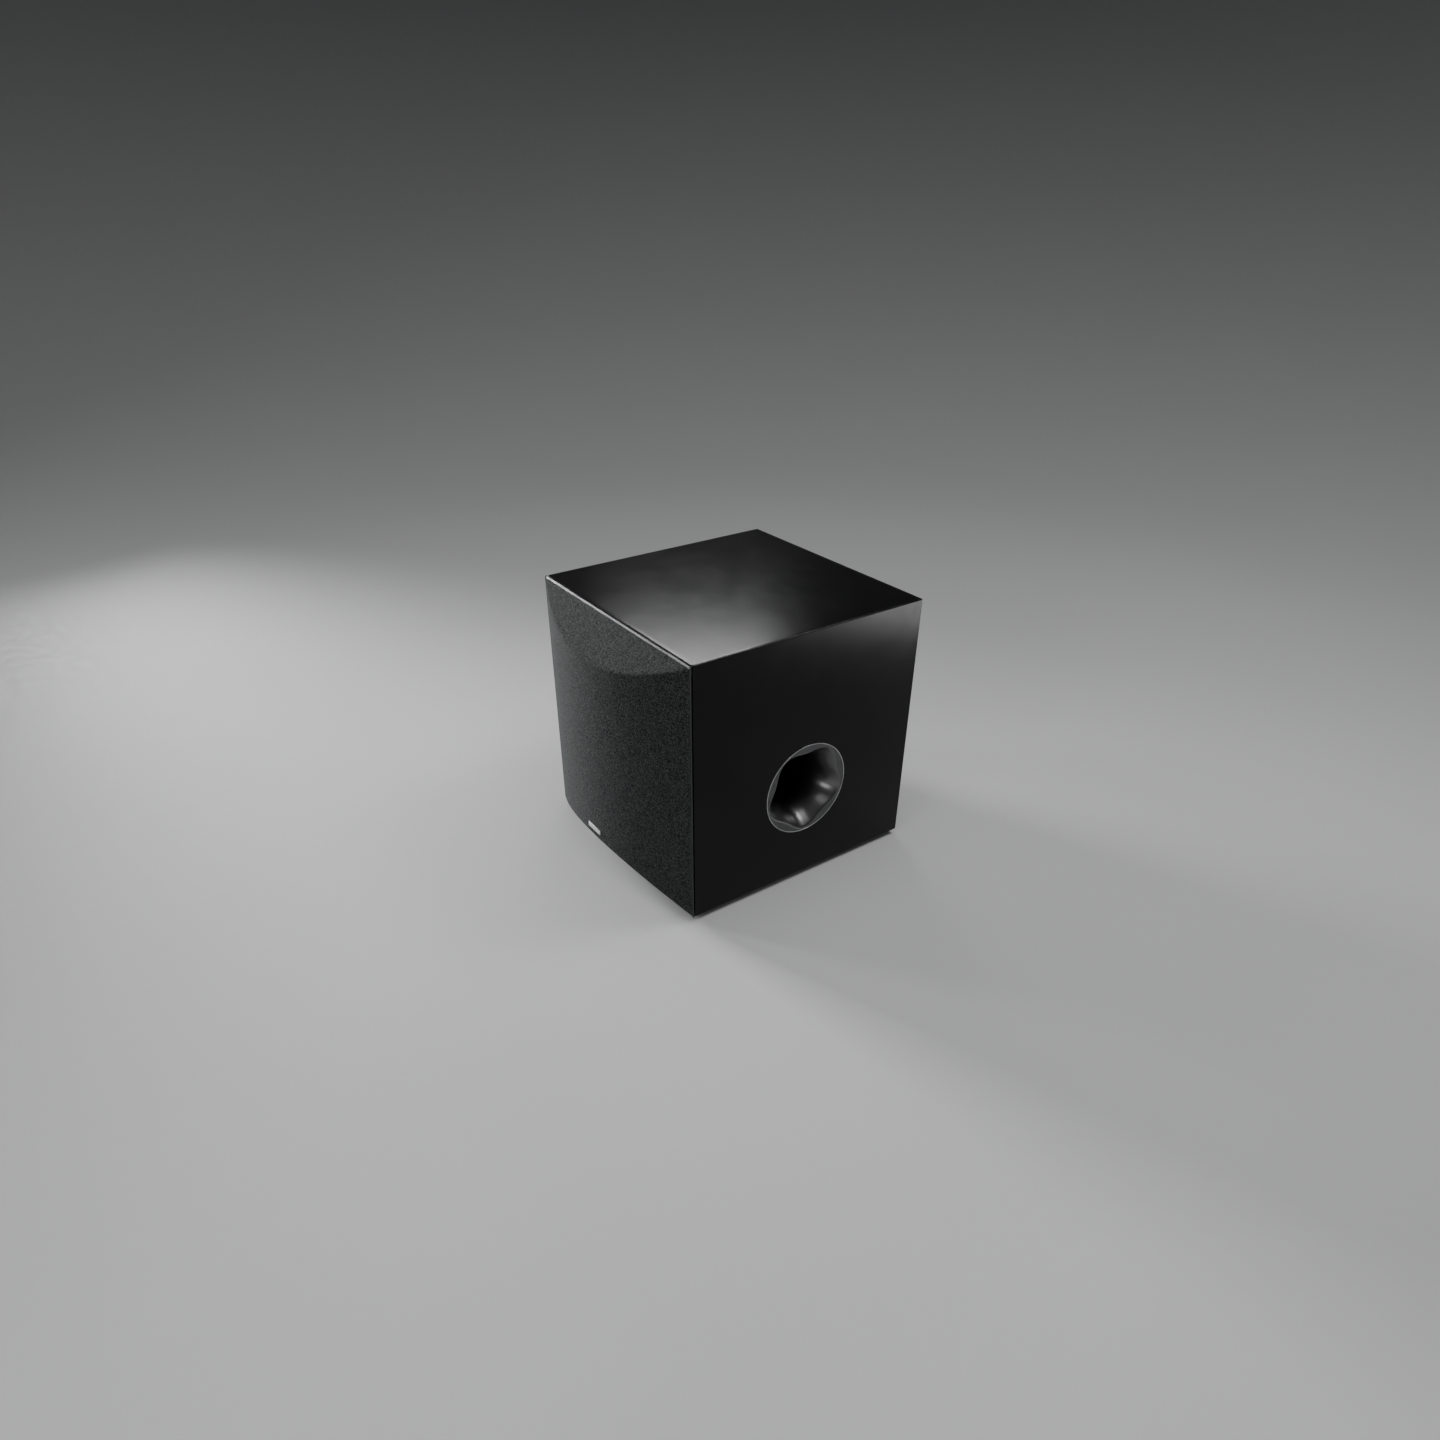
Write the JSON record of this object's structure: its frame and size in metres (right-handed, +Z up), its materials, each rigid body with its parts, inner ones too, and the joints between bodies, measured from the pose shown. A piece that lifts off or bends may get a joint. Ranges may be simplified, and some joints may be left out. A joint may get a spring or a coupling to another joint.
{
  "type": "powered subwoofer",
  "caption": "Black cube-shaped powered subwoofer with a bowed cloth grille, a lobed side port, a front woofer behind the grille and a rear amplifier plate.",
  "frame": {"origin": "on the floor, under the middle of the bounding box", "axes": "+Z up; the grille faces -Y; the bass port faces +X"},
  "size_m": [0.35, 0.4178, 0.362],
  "materials": {
    "black_vinyl": "fine-grained satin vinyl over board",
    "bare_board": "raw fibreboard",
    "black_board": "black-painted fibreboard",
    "felt": "felt",
    "rubber": "matt",
    "port_plastic": "satin to glossy black",
    "frame_plastic": "matt",
    "grille_cloth": "open speaker knit",
    "badge_metal": "brushed silver",
    "painted_steel": "fine-textured black paint",
    "cone_paper": "coated black pulp",
    "surround_rubber": "satin",
    "kapton": "amber film",
    "copper": "enamelled copper wire",
    "spider_cloth": "phenolic-treated cloth",
    "plated_steel": "zinc plated",
    "ferrite": "matt dark grey",
    "iron_core": "varnished laminations",
    "aluminium": "extruded",
    "circuit_green": "solder resist",
    "capacitor_sleeve": "dark sleeve",
    "tape_yellow": "insulating tape over wire",
    "black_plastic": "satin",
    "red_plastic": "satin red",
    "nickel": "nickel plated"
  },
  "bodies": {
    "cabinet": {"top_panel": "black_vinyl", "bottom_panel": "black_vinyl", "left_side_panel": "black_vinyl", "right_side_panel": "black_vinyl", "front_baffle": "black_board", "rear_panel": "black_board", "window_brace": "bare_board", "damping_pad": "felt", "port_flare": "port_plastic", "port_tube": "black_plastic", "port_inner_flare": "black_plastic", "woofer_basket": "painted_steel", "cone_surround": "surround_rubber", "woofer_gasket": "rubber", "spider": "spider_cloth", "motor_top_plate": "plated_steel", "magnet_ring": "ferrite", "motor_yoke": "plated_steel", "woofer_terminal": "bare_board", "amp_plate": "painted_steel", "volume_potentiometer": "nickel", "high_cut_potentiometer": "nickel", "speaker_terminal_housing": "black_plastic", "input_jack_block": "black_plastic", "input_jack_left": "nickel", "input_jack_right": "nickel", "mains_inlet": "black_plastic", "power_switch_housing": "black_plastic", "circuit_board": "circuit_green", "capacitor_left": "capacitor_sleeve", "capacitor_right": "capacitor_sleeve", "heat_sink": "aluminium", "transformer_core": "iron_core", "transformer_winding": "tape_yellow", "woofer_cable": "black_plastic", "foot_front_left": "rubber", "foot_front_right": "rubber", "foot_back_left": "rubber", "foot_back_right": "rubber", "grille_socket_low_left": "rubber", "grille_socket_low_right": "rubber", "grille_socket_high_left": "rubber", "grille_socket_high_right": "rubber"},
    "grille": {"grille_frame": "frame_plastic", "grille_cloth": "grille_cloth", "badge": "badge_metal"},
    "cone_assembly": {"woofer_cone": "cone_paper", "dust_cap": "cone_paper", "coil_former": "kapton", "voice_coil": "copper"},
    "volume_knob": {"volume_knob": "black_plastic"},
    "high_cut_knob": {"high_cut_knob": "black_plastic"},
    "phase_switch": {"phase_switch": "black_plastic"},
    "bass_mode_switch": {"bass_mode_switch": "black_plastic"},
    "auto_standby_switch": {"auto_standby_switch": "black_plastic"},
    "power_rocker": {"power_rocker": "black_plastic"},
    "terminal_lever_low_red": {"terminal_lever_low_red": "red_plastic"},
    "terminal_lever_low_black": {"terminal_lever_low_black": "black_plastic"},
    "terminal_lever_high_red": {"terminal_lever_high_red": "red_plastic"},
    "terminal_lever_high_black": {"terminal_lever_high_black": "black_plastic"}
  },
  "joints": [
    {"name": "grille_pull", "type": "slide", "parent": "cabinet", "child": "grille", "axis": [0, -1, 0], "range_m": [0, 0.12]},
    {"name": "cone_travel", "type": "slide", "parent": "cabinet", "child": "cone_assembly", "axis": [0, -1, 0], "range_m": [-0.008, 0.008], "stiffness_N_per_m": 2500, "deforming": ["cone_surround", "spider"]},
    {"name": "volume_turn", "type": "hinge", "parent": "cabinet", "child": "volume_knob", "pos_m": [-0.055, 0.1919, 0.29], "axis": [0, 1, 0], "range_deg": [-150, 150]},
    {"name": "high_cut_turn", "type": "hinge", "parent": "cabinet", "child": "high_cut_knob", "pos_m": [0.055, 0.1919, 0.29], "axis": [0, 1, 0], "range_deg": [-150, 150]},
    {"name": "phase_slide", "type": "slide", "parent": "cabinet", "child": "phase_switch", "axis": [1, 0, 0], "range_m": [0, 0.004]},
    {"name": "bass_mode_slide", "type": "slide", "parent": "cabinet", "child": "bass_mode_switch", "axis": [1, 0, 0], "range_m": [0, 0.004]},
    {"name": "auto_standby_slide", "type": "slide", "parent": "cabinet", "child": "auto_standby_switch", "axis": [1, 0, 0], "range_m": [0, 0.006]},
    {"name": "power_rock", "type": "hinge", "parent": "cabinet", "child": "power_rocker", "pos_m": [0.062, 0.1889, 0.092], "axis": [1, 0, 0], "range_deg": [-14, 0]},
    {"name": "lever_press_low_red", "type": "hinge", "parent": "cabinet", "child": "terminal_lever_low_red", "pos_m": [0.034, 0.1934, 0.1795], "axis": [1, 0, 0], "range_deg": [-20, 0], "stiffness_Nm_per_rad": 0.05},
    {"name": "lever_press_low_black", "type": "hinge", "parent": "cabinet", "child": "terminal_lever_low_black", "pos_m": [0.05, 0.1934, 0.1795], "axis": [1, 0, 0], "range_deg": [-20, 0], "stiffness_Nm_per_rad": 0.05},
    {"name": "lever_press_high_red", "type": "hinge", "parent": "cabinet", "child": "terminal_lever_high_red", "pos_m": [0.034, 0.1934, 0.2095], "axis": [1, 0, 0], "range_deg": [-20, 0], "stiffness_Nm_per_rad": 0.05},
    {"name": "lever_press_high_black", "type": "hinge", "parent": "cabinet", "child": "terminal_lever_high_black", "pos_m": [0.05, 0.1934, 0.2095], "axis": [1, 0, 0], "range_deg": [-20, 0], "stiffness_Nm_per_rad": 0.05}
  ]
}
